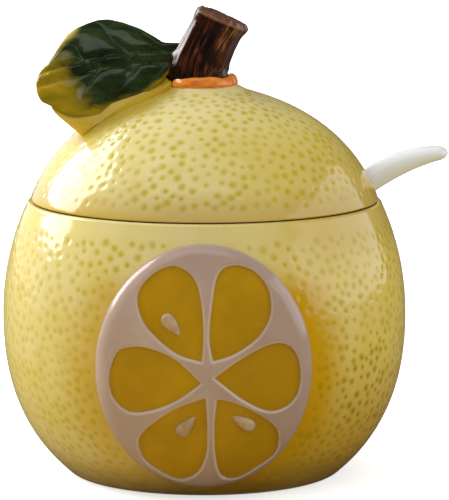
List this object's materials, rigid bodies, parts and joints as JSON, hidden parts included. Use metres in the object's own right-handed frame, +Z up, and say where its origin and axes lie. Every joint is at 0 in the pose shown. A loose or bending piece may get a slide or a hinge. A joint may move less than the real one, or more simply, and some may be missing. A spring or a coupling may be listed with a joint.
{
  "type": "condiment pot",
  "caption": "Lemon-shaped glazed ceramic condiment pot with a raised slice on its front, a lift-off lid gripped by stem and leaf, and a spoon whose handle leaves through a notch in the lid.",
  "frame": {"origin": "middle of the flat foot, on the table", "axes": "+Z up along the pot's axis, -Y towards the lemon slice on the front, +X to the side where the spoon's handle leaves"},
  "size_m": [0.111, 0.1025, 0.1159],
  "materials": {
    "rind_glaze": "glossy lemon-yellow glaze over a pored rind, pale at the pores' edges",
    "pith_glaze": "glossy off-white glaze with a faint mauve tint",
    "pulp_glaze": "glossy golden-yellow glaze, thinner at the edges",
    "pip_glaze": "glossy cream glaze",
    "collar_glaze": "glossy orange glaze, brushed on",
    "bark_glaze": "glossy dark brown glaze pooled between bark ridges",
    "leaf_glaze": "glossy dark green glaze brushed over veins, yellow-olive at the tip",
    "pad_glaze": "glossy golden-yellow glaze",
    "white_glaze": "glossy white porcelain glaze"
  },
  "bodies": {
    "pot": {"pot_body": "rind_glaze", "slice_pith": "pith_glaze", "pulp_segment_1": "pulp_glaze", "pulp_segment_2": "pulp_glaze", "pulp_segment_3": "pulp_glaze", "pulp_segment_4": "pulp_glaze", "pulp_segment_5": "pulp_glaze", "pulp_segment_6": "pulp_glaze", "pip_1": "pip_glaze", "pip_2": "pip_glaze", "pip_3": "pip_glaze"},
    "spoon": {"spoon": "white_glaze"},
    "lid": {"lid_shell": "rind_glaze", "stem_collar": "collar_glaze", "stem": "bark_glaze", "leaf": "leaf_glaze", "leaf_pad": "pad_glaze"}
  },
  "joints": [
    {"name": "spoon_lift", "type": "slide", "parent": "pot", "child": "spoon", "axis": [0, 0, 1], "range_m": [0, 0.08]},
    {"name": "lid_lift", "type": "slide", "parent": "spoon", "child": "lid", "axis": [0, 0, 1], "range_m": [0, 0.08]}
  ]
}
